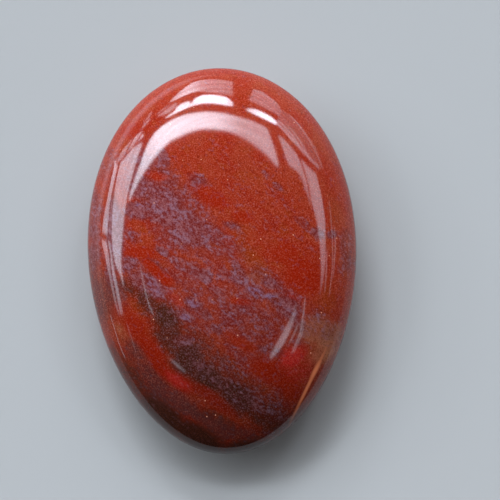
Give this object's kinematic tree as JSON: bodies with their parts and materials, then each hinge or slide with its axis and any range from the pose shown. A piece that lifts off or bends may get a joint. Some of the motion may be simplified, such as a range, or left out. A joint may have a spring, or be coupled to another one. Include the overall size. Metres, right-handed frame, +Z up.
{
  "type": "sardonyx palm stone",
  "caption": "Oval polished palm stone with two smooth domes meeting at a rounded girdle, resting on a small flat spot.",
  "frame": {"origin": "on the plane that the stone rests on, below the middle of its bounding box", "axes": "+Y runs along the stone to its broad end, +Z is up out of the crown, and +X is across the stone"},
  "size_m": [0.0416, 0.06, 0.0152],
  "materials": {
    "sardonyx": "high polish"
  },
  "bodies": {
    "root": {"stone": "sardonyx"}
  },
  "joints": []
}
